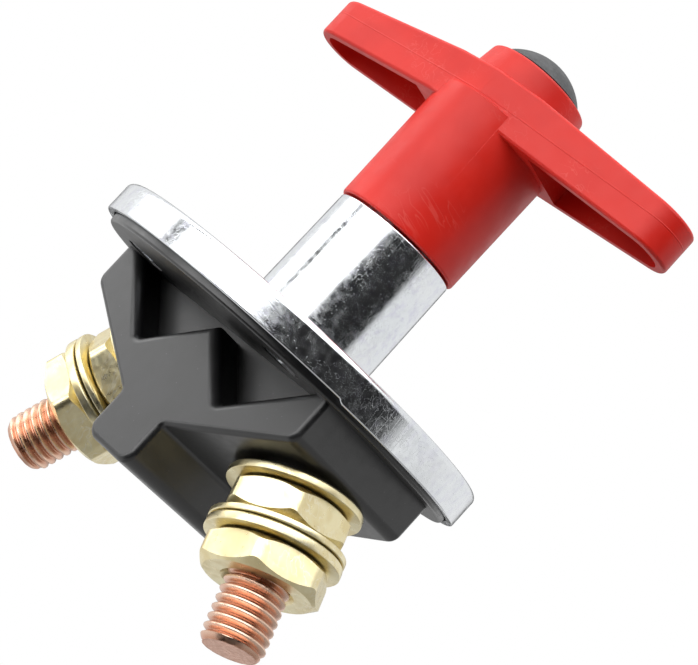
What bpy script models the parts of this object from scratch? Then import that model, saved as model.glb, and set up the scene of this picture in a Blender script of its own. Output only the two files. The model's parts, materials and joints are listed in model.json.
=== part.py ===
"""Battery switch: a rotary isolator with a red tee handle, a plated flange and two angled copper studs.

Frame: the origin is the centre of the flange's panel face, +Z runs up the spindle to the handle,
and X runs through both studs. All lengths below are millimetres, turned into metres by mm().
"""
import math

import bmesh
import bpy
from mathutils import Matrix, Vector

# Flange casting: a shallow cup with a neck that the spindle turns in
FLANGE_RADIUS = 36.2
RIM_DEPTH = 5.3
RIM_INNER_RADIUS = 34.9
PLATE_THICKNESS = 3.0
RIM_EDGE_ROUND = 1.0
NECK_RADIUS = 11.25
NECK_TOP_RADIUS = 11.05
NECK_TOP = 21.4
SPIGOT_RADIUS = 8.0
SPIGOT_TOP = 33.0
BORE_RADIUS = 5.06
POCKET_RADIUS = 8.2
POCKET_TOP = 1.6
PANEL_HOLE_OFFSET = 27.0
PANEL_HOLE_RADIUS = 2.5

# Housing: a disc in the cup, a block with two vee notches a side, two sloping seats and a keel
DISC_RADIUS = 34.6
DISC_TOP = -3.3
DISC_BOTTOM = -6.6
BLOCK_HALF_WIDTH = 28.3
BLOCK_HALF_DEPTH = 15.8
SHOULDER_Z = -13.8
KEEL_HALF_WIDTH = 6.0
KEEL_BOTTOM = -32.6
KEEL_ROUND = 2.6
EDGE_ROUND = 2.0
SHOULDER_ROUND = 2.2
KEEL_ROOT_ROUND = 1.0
NOTCH_X = 11.5
NOTCH_APEX_Z = -16.5
NOTCH_HALF_WIDTH = 12.6
NOTCH_FLOOR_Y = 10.3
WELL_RADIUS = 8.8
WELL_FLOOR = -12.5
SLOT_HALF_DEPTH = 6.4
SPRING_WELL_RADIUS = 4.0
SPRING_WELL_FLOOR = -29.9
CUT_TOP = -2.5
GROOVE_INNER = 30.0
GROOVE_OUTER = 33.0
GROOVE_FLOOR = -4.6

# Studs and what is stacked on them, measured outward from the seat along the stud
STUD_TILT = math.radians(25.5)
STUD_X = 20.4
STUD_Z = -17.57
STUD_RADIUS = 5.0
STUD_END = 26.8
STUD_CHAMFER = 0.8
HEAD_INNER = 4.3
HEAD_THICKNESS = 3.0
HEAD_HALF_LENGTH = 5.6
HEAD_HALF_DEPTH = 5.8
SEAT_BOSS_RADIUS = 7.5
SEAT_BOSS_HEIGHT = 0.7
CLEAR_HOLE = 5.3
WASHER_RADIUS = 10.75
NUT_ACROSS_FLATS = 18.0
NUT_HEIGHT = 5.2
NUT_CHAMFER = 0.9
STACK = (
    ("base_washer", 1.0, 1.3),
    ("inner_nut", 2.6, NUT_HEIGHT),
    ("spring_washer", 8.1, 1.0),
    ("lug_washer", 9.4, 1.5),
    ("outer_nut", 11.2, NUT_HEIGHT),
)
NUT_TURN = {
    "inner_nut_right": math.radians(12.5),
    "outer_nut_right": math.radians(-1.0),
    "inner_nut_left": math.radians(29.0),
    "outer_nut_left": math.radians(-1.0),
}

# Moving parts
TURN = math.radians(90.0)
LIFT = 2.5
HANDLE_REST = math.radians(10.0)
COLLAR_RADIUS = 7.6
CAM_TOP = -3.6
CAM_THIN = 1.5
CAM_RADIUS = 8.4
CAM_DWELL = math.radians(8.0)
LUG_ANGLE = math.radians(45.0)
LUG_HALF_ANGLE = math.radians(8.0)
NOSE_HALF_ANGLE = math.radians(7.0)
CARRIER_TOP = -7.9
CARRIER_BOTTOM = -9.6
BRIDGE_LOW = -11.74
BRIDGE_THICKNESS = 1.9
BRIDGE_FLAT = 9.0
BRIDGE_HALF_LENGTH = 22.0
BRIDGE_HALF_DEPTH = 5.2
SPRING_RADIUS = 3.2
SPRING_WIRE = 0.45
SPRING_TURNS = 6
SPRING_BOTTOM = -28.1
SPRING_TOP = -12.5

# Handle
HUB_BOTTOM = 21.7
HUB_RADIUS = 11.4
HUB_TOP_RADIUS = 11.6
BAR_BOTTOM = 42.6
BAR_TOP = 51.1
BAR_END_BOTTOM = 42.0
BAR_END_TOP = 49.0
BAR_HALF_LENGTH = 39.0
BAR_END_RADIUS = 5.5
BAR_ROOT_HALF_WIDTH = 10.3
BAR_WALL = 1.7
POCKET_DEPTH = 5.6
BOSS_TOP = 55.3
BOSS_RADIUS = 9.4
BOSS_ROOT_RADIUS = 10.1
SCREW_SEAT = 47.0
CAP_RADIUS = 7.9
CAP_HEIGHT = 3.9

SCREW_CIRCLE = 27.0
GAP = 0.3
ROUND_STEPS = 32
DISC_STEPS = 48
WASHER_STEPS = 28

parts = None
cutters = None


def mm(value):
    """Millimetres to metres, for a number or a tuple of numbers."""
    if isinstance(value, (int, float)):
        return value * 0.001
    return tuple(item * 0.001 for item in value)


def clear_scene():
    for thing in list(bpy.data.objects):
        bpy.data.objects.remove(thing, do_unlink=True)


def new_collection(name):
    collection = bpy.data.collections.new(name)
    bpy.context.scene.collection.children.link(collection)
    return collection


def material(name, colour, roughness, metallic):
    made = bpy.data.materials.new(name)
    made.use_nodes = True
    shader = made.node_tree.nodes["Principled BSDF"]
    shader.inputs["Base Color"].default_value = (*colour, 1.0)
    shader.inputs["Roughness"].default_value = roughness
    shader.inputs["Metallic"].default_value = metallic
    return made


def add_object(name, mesh, finish=None):
    thing = bpy.data.objects.new(name, mesh)
    parts.objects.link(thing)
    if finish:
        mesh.materials.append(finish)
    mesh.shade_smooth()
    mesh.set_sharp_from_angle(angle=math.radians(32))
    return thing


def as_tool(thing):
    """Move a solid to the cutters, where it is only an operand."""
    for collection in thing.users_collection:
        collection.objects.unlink(thing)
    cutters.objects.link(thing)
    thing.hide_render = True
    thing.display_type = "WIRE"
    return thing


def combine(target, operand, operation="DIFFERENCE"):
    as_tool(operand)
    modifier = target.modifiers.new(f"{operation.lower()} {operand.name}", "BOOLEAN")
    modifier.operation = operation
    modifier.object = operand
    modifier.solver = "EXACT"
    return target


def turned(name, profile, finish=None, steps=ROUND_STEPS, closed=False):
    """A solid of revolution about Z. The profile is (radius, z) down the outer side."""
    mesh = bpy.data.meshes.new(name)
    shape = bmesh.new()
    verts = [shape.verts.new(mm((radius, 0.0, z))) for radius, z in profile]
    for first, second in zip(verts, verts[1:]):
        shape.edges.new((first, second))
    if closed:
        shape.edges.new((verts[-1], verts[0]))
    shape.to_mesh(mesh)
    shape.free()
    thing = add_object(name, mesh, finish)
    screw = thing.modifiers.new("turn", "SCREW")
    screw.steps = steps
    screw.render_steps = steps
    screw.use_merge_vertices = True
    screw.merge_threshold = 0.00001
    screw.use_normal_calculate = False
    return thing


def outline_plate(name, outline, low, high, finish=None, upright=False):
    """A flat outline given a thickness from low to high, along Z, or along Y when upright."""
    curve = bpy.data.curves.new(name, "CURVE")
    curve.dimensions = "2D"
    curve.fill_mode = "BOTH"
    curve.extrude = mm((high - low) / 2)
    spline = curve.splines.new("POLY")
    spline.points.add(len(outline) - 1)
    for point, (across, up) in zip(spline.points, outline):
        point.co = (*mm((across, up, 0.0)), 1.0)
    spline.use_cyclic_u = True
    drawn = bpy.data.objects.new(name, curve)
    parts.objects.link(drawn)
    middle = mm((low + high) / 2)
    if upright:
        drawn.matrix_world = Matrix.Translation((0, middle, 0)) @ Matrix.Rotation(math.pi / 2, 4, "X")
    else:
        drawn.matrix_world = Matrix.Translation((0, 0, middle))
    place = drawn.matrix_world.copy()
    bpy.context.view_layer.update()
    mesh = bpy.data.meshes.new_from_object(drawn.evaluated_get(bpy.context.evaluated_depsgraph_get()))
    bpy.data.objects.remove(drawn, do_unlink=True)
    bpy.data.curves.remove(curve)
    mesh.name = name
    mesh.materials.clear()
    shape = bmesh.new()
    shape.from_mesh(mesh)
    bmesh.ops.remove_doubles(shape, verts=shape.verts, dist=0.00001)
    bmesh.ops.recalc_face_normals(shape, faces=shape.faces)
    shape.to_mesh(mesh)
    shape.free()
    thing = add_object(name, mesh, finish)
    thing.matrix_world = place
    return thing


def block(name, low, high, finish=None):
    mesh = bpy.data.meshes.new(name)
    shape = bmesh.new()
    size = [b - a for a, b in zip(low, high)]
    middle = [(a + b) / 2 for a, b in zip(low, high)]
    place = Matrix.Translation(mm(middle)) @ Matrix.Diagonal((*mm(size), 1.0))
    bmesh.ops.create_cube(shape, size=1.0, matrix=place)
    shape.to_mesh(mesh)
    shape.free()
    return add_object(name, mesh, finish)


def rounded(corners, segments=4):
    """An outline whose corners (x, z, radius) are turned into arcs."""
    outline = []
    count = len(corners)
    for index, (x, z, radius) in enumerate(corners):
        here = Vector((x, z))
        before = Vector(corners[index - 1][:2]) - here
        after = Vector(corners[(index + 1) % count][:2]) - here
        if radius <= 0:
            outline.append((x, z))
            continue
        half = before.angle(after) / 2
        centre = here + (before.normalized() + after.normalized()).normalized() * radius / math.sin(half)
        start = here + before.normalized() * radius / math.tan(half) - centre
        end = here + after.normalized() * radius / math.tan(half) - centre
        sweep = start.angle_signed(end)
        for step in range(segments + 1):
            turn = Matrix.Rotation(-sweep * step / segments, 2)
            outline.append(tuple(centre + turn @ start))
    return outline


def sector(inner, outer, start, end, steps=10):
    """Outline of a ring sector between two angles."""
    turns = [start + (end - start) * step / steps for step in range(steps + 1)]
    outside = [(outer * math.cos(turn), outer * math.sin(turn)) for turn in turns]
    inside = [(inner * math.cos(turn), inner * math.sin(turn)) for turn in reversed(turns)]
    return outside + inside


def double_flat(radius, across, steps=6):
    """Outline of a round drive with two flats, across apart in X."""
    half = across / 2
    reach = math.acos(half / radius)
    arc = [reach + (math.pi - 2 * reach) * step / steps for step in range(steps + 1)]
    upper = [(radius * math.cos(turn), radius * math.sin(turn)) for turn in arc]
    return upper + [(-x, -y) for x, y in upper]


def hex_solid(name, low, high, turn, finish):
    """A hexagon prism whose corners are chamfered at both ends."""
    corner = NUT_ACROSS_FLATS / math.sqrt(3)
    outline = [
        (corner * math.cos(turn + math.pi / 3 * side), corner * math.sin(turn + math.pi / 3 * side))
        for side in range(6)
    ]
    nut = outline_plate(name, outline, low, high, finish)
    face = NUT_ACROSS_FLATS / 2 - 0.2
    wide = corner + 0.2
    chamfer = turned(
        f"{name} chamfer",
        [(0, high + 0.1), (face, high + 0.1), (wide, high - NUT_CHAMFER), (wide, low + NUT_CHAMFER),
         (face, low - 0.1), (0, low - 0.1)],
        steps=30,
    )
    return combine(nut, chamfer, "INTERSECT")


def make_flange(finish):
    edge = [
        (FLANGE_RADIUS - RIM_EDGE_ROUND * (1 - math.sin(turn)), -RIM_EDGE_ROUND * (1 - math.cos(turn)))
        for turn in [math.radians(angle) for angle in (0, 45, 90)]
    ]
    root = 1.5
    fillet = [
        (NECK_RADIUS + root * (1 - math.cos(turn)), root * (1 - math.sin(turn)))
        for turn in [math.radians(angle) for angle in (0, 45, 90)]
    ]
    profile = [
        (BORE_RADIUS, SPIGOT_TOP), (SPIGOT_RADIUS - 0.5, SPIGOT_TOP), (SPIGOT_RADIUS, SPIGOT_TOP - 0.5),
        (SPIGOT_RADIUS, NECK_TOP), (NECK_TOP_RADIUS - 0.3, NECK_TOP), (NECK_TOP_RADIUS, NECK_TOP - 0.3),
        *fillet, *edge,
        (FLANGE_RADIUS, -RIM_DEPTH), (RIM_INNER_RADIUS, -RIM_DEPTH), (RIM_INNER_RADIUS, -PLATE_THICKNESS),
        (POCKET_RADIUS, -PLATE_THICKNESS), (POCKET_RADIUS, POCKET_TOP), (BORE_RADIUS, POCKET_TOP),
    ]
    flange = turned("flange", profile, finish, steps=DISC_STEPS, closed=True)
    for side in (1, -1):
        hole = turned(
            "panel hole", [(0, 1), (PANEL_HOLE_RADIUS, 1), (PANEL_HOLE_RADIUS, -4), (0, -4)], steps=20,
        )
        hole.location = mm((0, side * PANEL_HOLE_OFFSET, 0))
        combine(flange, hole)
    for place in screw_places():
        hole = turned("tapped hole", [(0, -0.6), (1.8, -0.6), (1.8, -4), (0, -4)], steps=16)
        hole.location = mm(place)
        combine(flange, hole)


def screw_places():
    reach = SCREW_CIRCLE / math.sqrt(2)
    return [(x * reach, y * reach, 0) for x in (1, -1) for y in (1, -1)]


def seat_line(x):
    """Height of the sloping seat at a distance x from the centre plane."""
    return STUD_Z + (abs(x) - STUD_X) * math.tan(STUD_TILT)


def stud_frame(side):
    """World matrix whose +Z runs inward along a stud, from its seat."""
    place = Matrix.Translation(mm((side * STUD_X, 0, STUD_Z)))
    return place @ Matrix.Rotation(-side * STUD_TILT, 4, "Y")


def make_housing(finish):
    wide = BLOCK_HALF_WIDTH
    keel = KEEL_HALF_WIDTH
    half = [(wide, -4.5, 0), (wide, SHOULDER_Z, SHOULDER_ROUND), (keel, seat_line(keel), KEEL_ROOT_ROUND),
            (keel, KEEL_BOTTOM, KEEL_ROUND)]
    mirrored = [(-x, z, radius) for x, z, radius in reversed(half)]
    depth = BLOCK_HALF_DEPTH
    body = outline_plate("housing", rounded(half + mirrored), -depth, depth, finish, upright=True)
    bevel = body.modifiers.new("round edges", "BEVEL")
    bevel.width = mm(EDGE_ROUND)
    bevel.segments = 2
    bevel.limit_method = "ANGLE"
    bevel.angle_limit = math.radians(50)

    for side in (1, -1):
        boss = turned(
            "seat boss",
            [(0, 3), (SEAT_BOSS_RADIUS, 3), (SEAT_BOSS_RADIUS, -SEAT_BOSS_HEIGHT), (0, -SEAT_BOSS_HEIGHT)],
            steps=32,
        )
        boss.matrix_world = stud_frame(side)
        combine(body, boss, "UNION")
    for x in (NOTCH_X, -NOTCH_X):
        for face in (1, -1):
            top = NOTCH_APEX_Z - DISC_BOTTOM
            spread = NOTCH_HALF_WIDTH / -top
            reach = -4.0 - NOTCH_APEX_Z
            vee = [(x, NOTCH_APEX_Z, 0.8), (x + reach * spread, -4.0, 0), (x - reach * spread, -4.0, 0)]
            low, high = sorted((face * NOTCH_FLOOR_Y, face * (depth + 2)))
            notch = outline_plate("notch", rounded(vee), low, high, upright=True)
            combine(body, notch)

    disc = turned(
        "disc",
        [(0, DISC_TOP), (DISC_RADIUS, DISC_TOP), (DISC_RADIUS, DISC_BOTTOM + 0.4),
         (DISC_RADIUS - 0.4, DISC_BOTTOM), (0, DISC_BOTTOM)],
        steps=DISC_STEPS,
    )
    combine(body, disc, "UNION")

    floor = []
    for reach in (6.4, -6.4):
        inward = 4.0
        x = STUD_X - inward * math.sin(STUD_TILT) + reach * math.cos(STUD_TILT)
        z = STUD_Z + inward * math.cos(STUD_TILT) + reach * math.sin(STUD_TILT)
        floor.append((x, z))
    half = [(floor[0][0], CUT_TOP), floor[0], floor[1]]
    chamber = half + [(-x, z) for x, z in reversed(half)]
    combine(body, outline_plate("chamber", chamber, -SLOT_HALF_DEPTH, SLOT_HALF_DEPTH, upright=True))
    well = turned("well", [(0, CUT_TOP), (WELL_RADIUS, CUT_TOP), (WELL_RADIUS, WELL_FLOOR), (0, WELL_FLOOR)])
    combine(body, well)
    spring_well = turned(
        "spring well",
        [(0, -10), (SPRING_WELL_RADIUS, -10), (SPRING_WELL_RADIUS, SPRING_WELL_FLOOR),
         (0, SPRING_WELL_FLOOR)],
        steps=32,
    )
    combine(body, spring_well)
    for side in (1, -1):
        bore = turned("stud bore", [(0, 6), (CLEAR_HOLE, 6), (CLEAR_HOLE, -3), (0, -3)], steps=28)
        bore.matrix_world = stud_frame(side)
        combine(body, bore)
    margin = LUG_HALF_ANGLE + math.radians(2.5)
    recess = sector(7.0, 12.9, -LUG_ANGLE - margin, LUG_ANGLE + margin, steps=16)
    combine(body, outline_plate("stop recess", recess, -5.4, CUT_TOP))
    for place in screw_places():
        hole = turned(
            "screw hole",
            [(0, CUT_TOP), (1.9, CUT_TOP), (1.9, -4.9), (3.5, -6.5), (3.5, -7.5), (0, -7.5)], steps=20,
        )
        hole.location = mm(place)
        combine(body, hole)
    for side in (1, -1):
        pocket = turned("panel screw pocket", [(0, CUT_TOP), (2.7, CUT_TOP), (2.7, -5.2), (0, -5.2)], steps=20)
        pocket.location = mm((0, side * PANEL_HOLE_OFFSET, 0))
        combine(body, pocket)
    groove = turned(
        "seal groove",
        [(GROOVE_INNER, CUT_TOP), (GROOVE_OUTER, CUT_TOP), (GROOVE_OUTER, GROOVE_FLOOR),
         (GROOVE_INNER, GROOVE_FLOOR)],
        closed=True, steps=DISC_STEPS,
    )
    combine(body, groove)


def make_seal(finish):
    inner, outer, low = GROOVE_INNER + 0.4, GROOVE_OUTER - 0.4, GROOVE_FLOOR + GAP
    profile = [(inner, DISC_TOP), (outer, DISC_TOP), (outer, low), (inner, low)]
    turned("housing_seal", profile, finish, closed=True, steps=DISC_STEPS)


def make_screws(finish):
    profile = [(0, -0.9), (1.5, -0.9), (1.5, -5.2), (2.9, -6.5), (0, -6.5)]
    for index, place in enumerate(screw_places(), start=1):
        screw = turned(f"housing_screw_{index}", profile, finish, steps=16)
        screw.location = mm(place)


def make_studs(copper, zinc):
    end = -STUD_END
    for side, word in ((1, "right"), (-1, "left")):
        frame = stud_frame(side)
        stud = turned(
            f"stud_{word}",
            [(0, HEAD_INNER + 1), (STUD_RADIUS, HEAD_INNER + 1), (STUD_RADIUS, end + STUD_CHAMFER),
             (STUD_RADIUS - STUD_CHAMFER, end), (0, end)],
            copper, steps=28,
        )
        length, depth = HEAD_HALF_LENGTH, HEAD_HALF_DEPTH
        head = block("head", (-length, -depth, HEAD_INNER), (length, depth, HEAD_INNER + HEAD_THICKNESS))
        combine(stud, head, "UNION")
        head.matrix_world = frame
        stud.matrix_world = frame
        for piece, start, height in STACK:
            name = f"{piece}_{word}"
            if name in NUT_TURN:
                made = hex_solid(name, -start - height, -start, NUT_TURN[name], zinc)
                bore = turned("nut bore", [(0, 0), (CLEAR_HOLE, 0), (CLEAR_HOLE, -20), (0, -20)], steps=24)
                combine(made, bore)
                bore.matrix_world = frame
                for modifier in made.modifiers:
                    modifier.object.matrix_world = frame
                made.matrix_world = frame @ made.matrix_world
                continue
            outer = WASHER_RADIUS
            soft = min(height / 3, 0.4)
            made = turned(
                name,
                [(CLEAR_HOLE, -start), (outer - soft, -start), (outer, -start - soft),
                 (outer, -start - height + soft), (outer - soft, -start - height),
                 (CLEAR_HOLE, -start - height)],
                zinc, steps=WASHER_STEPS, closed=True,
            )
            made.matrix_world = frame
            if piece == "spring_washer":
                split = block("split", (0, -0.4, -2), (14, 0.4, 2))
                split.matrix_world = frame @ Matrix.Translation(mm((0, 0, -start - height / 2))) @ (
                    Matrix.Rotation(math.radians(-60 * side - 90), 4, "Z")
                    @ Matrix.Rotation(math.radians(40), 4, "X")
                )
                combine(made, split)


def make_spindle(steel, nylon, rubber):
    profile = [
        (0, 41), (4.6, 41), (STUD_RADIUS, 40.6), (5, 27.7), (4.1, 27.7), (4.1, 26.5), (5, 26.5), (5, 0.1),
        (COLLAR_RADIUS, 0.1), (COLLAR_RADIUS, -2.7), (4, -2.7), (4, -6.3), (0, -6.3),
    ]
    spindle = turned("spindle", profile, steel)
    flats = outline_plate("spindle flats", double_flat(9, 7.6), 31, 45)
    outside = turned("flat stock", [(0, 44), (12, 44), (12, 33.1), (0, 33.1)])
    combine(outside, flats)
    combine(spindle, outside)
    lower = turned("lower stock", [(0, -2.9), (12, -2.9), (12, -9), (0, -9)])
    combine(lower, outline_plate("lower flats", double_flat(8, 6.1), -10, -2))
    combine(spindle, lower)
    combine(spindle, turned("screw thread", [(0, 45), (2.8, 45), (2.8, 33), (0, 33)], steps=20))
    turned("thrust_washer", [(5.4, 1.3), (7.8, 1.3), (7.8, 0.4), (5.4, 0.4)], nylon, closed=True)

    middle, wire, height = 4.6, 0.34, 27.1
    circle = [math.radians(angle) for angle in range(0, 360, 45)]
    profile = [(middle + wire * math.cos(turn), height - wire * math.sin(turn)) for turn in circle]
    turned("spindle_o_ring", profile, rubber, closed=True, steps=24)


def cam_depth(turn):
    """Thickness of the face cam at an angle: one linear ramp and one return in each half turn."""
    turn = (turn + CAM_DWELL) % math.pi - CAM_DWELL
    top = TURN + CAM_DWELL
    if turn < 0:
        rise = 0.0
    elif turn < TURN:
        rise = turn / TURN
    elif turn < top:
        rise = 1.0
    else:
        rise = (math.pi - CAM_DWELL - turn) / (math.pi - CAM_DWELL - top)
    return CAM_THIN + LIFT * rise


def make_cam(finish):
    """A lofted ring whose lower face climbs with the angle, with a lug that meets the end stops."""
    steps = 60
    inner = 1.0
    mesh = bpy.data.meshes.new("cam")
    shape = bmesh.new()
    loops = []
    for step in range(steps):
        turn = 2 * math.pi * step / steps
        low = CAM_TOP - cam_depth(turn)
        ring = [(inner, CAM_TOP), (CAM_RADIUS, CAM_TOP), (CAM_RADIUS, low), (inner, low)]
        loops.append([
            shape.verts.new(mm((radius * math.cos(turn), radius * math.sin(turn), z))) for radius, z in ring
        ])
    for step, loop in enumerate(loops):
        following = loops[(step + 1) % steps]
        for corner in range(4):
            beside = (corner + 1) % 4
            shape.faces.new((loop[corner], loop[beside], following[beside], following[corner]))
    bmesh.ops.recalc_face_normals(shape, faces=shape.faces)
    shape.to_mesh(mesh)
    shape.free()
    cam = add_object("cam", mesh, finish)
    lug = sector(7.6, 12.3, LUG_ANGLE - LUG_HALF_ANGLE, LUG_ANGLE + LUG_HALF_ANGLE, steps=3)
    combine(cam, outline_plate("cam lug", lug, CAM_TOP - 1.4, CAM_TOP), "UNION")
    combine(cam, outline_plate("cam drive", double_flat(4.3, 6.7), -12, -2))


def make_contact(nylon, copper, steel):
    carrier = turned(
        "contact_carrier",
        [(0, CARRIER_TOP), (8.2, CARRIER_TOP), (8.2, CARRIER_BOTTOM), (2.3, CARRIER_BOTTOM),
         (2.3, -16.6), (1.9, -17), (0, -17)],
        nylon,
    )
    combine(carrier, block("guide", (-9.2, -6.1, CARRIER_BOTTOM), (9.2, 6.1, CARRIER_TOP - 0.2)), "UNION")
    nose_top = CAM_TOP - CAM_THIN - GAP
    for middle in (0, math.pi):
        tooth = sector(5.0, 8.0, middle - NOSE_HALF_ANGLE, middle + NOSE_HALF_ANGLE, steps=2)
        combine(carrier, outline_plate("nose", tooth, CARRIER_TOP - 0.5, nose_top), "UNION")

    rise = (BRIDGE_HALF_LENGTH - BRIDGE_FLAT) * math.tan(STUD_TILT)
    under = [
        (BRIDGE_HALF_LENGTH, BRIDGE_LOW + rise), (BRIDGE_FLAT, BRIDGE_LOW),
        (-BRIDGE_FLAT, BRIDGE_LOW), (-BRIDGE_HALF_LENGTH, BRIDGE_LOW + rise),
    ]
    over = [(x, z + BRIDGE_THICKNESS) for x, z in reversed(under)]
    bridge = outline_plate(
        "contact_bridge", under + over, -BRIDGE_HALF_DEPTH, BRIDGE_HALF_DEPTH, copper, upright=True,
    )
    combine(bridge, turned("post hole", [(0, -8), (2.6, -8), (2.6, -14), (0, -14)], steps=24))

    curve = bpy.data.curves.new("return_spring", "CURVE")
    curve.dimensions = "3D"
    curve.bevel_depth = mm(SPRING_WIRE)
    curve.bevel_resolution = 1
    curve.use_fill_caps = True
    spline = curve.splines.new("POLY")
    count = SPRING_TURNS * 12
    spline.points.add(count)
    for index in range(count + 1):
        turn = 2 * math.pi * SPRING_TURNS * index / count
        z = SPRING_BOTTOM + (SPRING_TOP - SPRING_BOTTOM) * index / count
        place = mm((SPRING_RADIUS * math.cos(turn), SPRING_RADIUS * math.sin(turn), z))
        spline.points[index].co = (*place, 1.0)
    spring = bpy.data.objects.new("return_spring", curve)
    curve.materials.append(steel)
    parts.objects.link(spring)
    turned("spring_seat", [(0, -28.9), (3.6, -28.9), (3.6, -29.6), (0, -29.6)], steel, steps=32)


def bar_outline(shrink=0.0):
    """Plan of the handle's bar: straight tapering sides and a round end, for +X only."""
    centre = BAR_HALF_LENGTH - BAR_END_RADIUS
    radius = BAR_END_RADIUS - shrink
    lean = math.asin((BAR_ROOT_HALF_WIDTH - BAR_END_RADIUS) / centre)
    arc = [math.pi / 2 - lean - (math.pi - 2 * lean) * step / 10 for step in range(11)]
    tip = [(centre + radius * math.cos(turn), radius * math.sin(turn)) for turn in arc]
    return tip, BAR_ROOT_HALF_WIDTH / math.cos(lean) - shrink, lean


def make_handle(red, black, steel):
    hub = turned(
        "handle",
        [(0, BAR_TOP - 2), (HUB_TOP_RADIUS, BAR_BOTTOM + 3), (HUB_RADIUS, HUB_BOTTOM + 0.3),
         (HUB_RADIUS - 0.3, HUB_BOTTOM), (0, HUB_BOTTOM)],
        red,
    )
    tip, root, _ = bar_outline()
    plan = [(0, root)] + tip + [(0, -root)] + [(-x, -y) for x, y in tip]
    bar = outline_plate("bar", plan, BAR_END_BOTTOM - 1, BAR_TOP + 1)
    end, flat = BAR_HALF_LENGTH + 1, 9.0
    side = [(end, BAR_END_TOP), (flat, BAR_TOP), (-flat, BAR_TOP), (-end, BAR_END_TOP),
            (-end, BAR_END_BOTTOM), (-flat, BAR_BOTTOM), (flat, BAR_BOTTOM), (end, BAR_END_BOTTOM)]
    bar_side = outline_plate("bar side", side, -14, 14, upright=True)
    combine(bar, bar_side, "INTERSECT")
    bevel = bar.modifiers.new("round edges", "BEVEL")
    bevel.width = mm(0.5)
    bevel.segments = 1
    bevel.limit_method = "ANGLE"
    bevel.angle_limit = math.radians(50)
    combine(hub, bar, "UNION")
    at_rest = Matrix.Rotation(HANDLE_REST, 4, "Z")
    for piece in (bar, bar_side):
        piece.matrix_world = at_rest @ piece.matrix_world
    boss = turned(
        "boss",
        [(0, BOSS_TOP), (BOSS_RADIUS - 0.4, BOSS_TOP), (BOSS_RADIUS, BOSS_TOP - 0.4),
         (BOSS_ROOT_RADIUS, BAR_TOP - 1), (0, BAR_TOP - 1)],
    )
    combine(hub, boss, "UNION")
    tip, root, lean = bar_outline(BAR_WALL)
    start = HUB_TOP_RADIUS + 1.2
    for way in (1, -1):
        near = root - start * math.tan(lean)
        wall = [(way * x, way * y) for x, y in tip]
        outline = [(way * start, way * near), *wall, (way * start, -way * near)]
        pocket = outline_plate("wing pocket", outline, BAR_END_BOTTOM - 3, BAR_BOTTOM + POCKET_DEPTH)
        pocket.matrix_world = at_rest @ pocket.matrix_world
        combine(hub, pocket)
    socket = turned(
        "socket",
        [(0, 33.4), (SPIGOT_RADIUS + GAP, 33.4), (SPIGOT_RADIUS + GAP, HUB_BOTTOM - 2), (0, HUB_BOTTOM - 2)],
    )
    combine(hub, socket)
    combine(hub, outline_plate("drive", double_flat(5.3, 8.2), 30, 41.3))
    combine(hub, turned("screw hole", [(0, 50), (2.9, 50), (2.9, 38), (0, 38)], steps=24))
    combine(hub, turned("screw well", [(0, 60), (5.6, 60), (5.6, SCREW_SEAT), (0, SCREW_SEAT)], steps=32))

    low = SCREW_SEAT + GAP
    turned(
        "handle_screw",
        [(0, low + 3), (3.6, low + 3), (4.6, low + 2), (4.6, low), (2.4, low), (2.4, 36), (0, 36)],
        steel, steps=24,
    )
    base = BOSS_TOP + GAP
    sphere = (CAP_RADIUS ** 2 + CAP_HEIGHT ** 2) / (2 * CAP_HEIGHT)
    reach = math.asin(CAP_RADIUS / sphere)
    dome = [
        (sphere * math.sin(reach * step / 4), base + CAP_HEIGHT - sphere * (1 - math.cos(reach * step / 4)))
        for step in range(5)
    ]
    turned("handle_cap", [*dome, (5.2, base), (5.2, base - 3), (0, base - 3)], black, steps=28)


def main():
    global parts, cutters
    clear_scene()
    parts = new_collection("battery_switch")
    cutters = new_collection("cutters")
    red = material("red plastic", (0.80, 0.04, 0.03), 0.35, 0.0)
    black = material("black plastic", (0.02, 0.02, 0.022), 0.38, 0.0)
    nylon = material("nylon", (0.75, 0.73, 0.68), 0.45, 0.0)
    rubber = material("rubber", (0.02, 0.02, 0.02), 0.75, 0.0)
    plated = material("bright zinc", (0.80, 0.81, 0.83), 0.15, 1.0)
    yellow = material("yellow zinc", (0.83, 0.70, 0.40), 0.28, 1.0)
    copper = material("copper", (0.80, 0.42, 0.28), 0.3, 1.0)
    steel = material("steel", (0.55, 0.55, 0.56), 0.3, 1.0)

    make_flange(plated)
    make_housing(black)
    make_seal(rubber)
    make_screws(plated)
    make_studs(copper, yellow)
    make_spindle(steel, nylon, rubber)
    make_cam(nylon)
    make_contact(nylon, copper, steel)
    make_handle(red, black, steel)
    bpy.context.view_layer.update()


main()
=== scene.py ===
"""Looks of the battery switch: detailed meshes, procedural finishes, a plain studio and the camera.

Lengths are millimetres in the CAD's own frame, turned into metres by mm() or MM. The origin is the centre
of the flange's panel face, +Z runs up the spindle to the handle, and X runs through both studs.
"""

import json
import math

import bmesh
import bpy
from mathutils import Matrix, Vector


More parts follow.
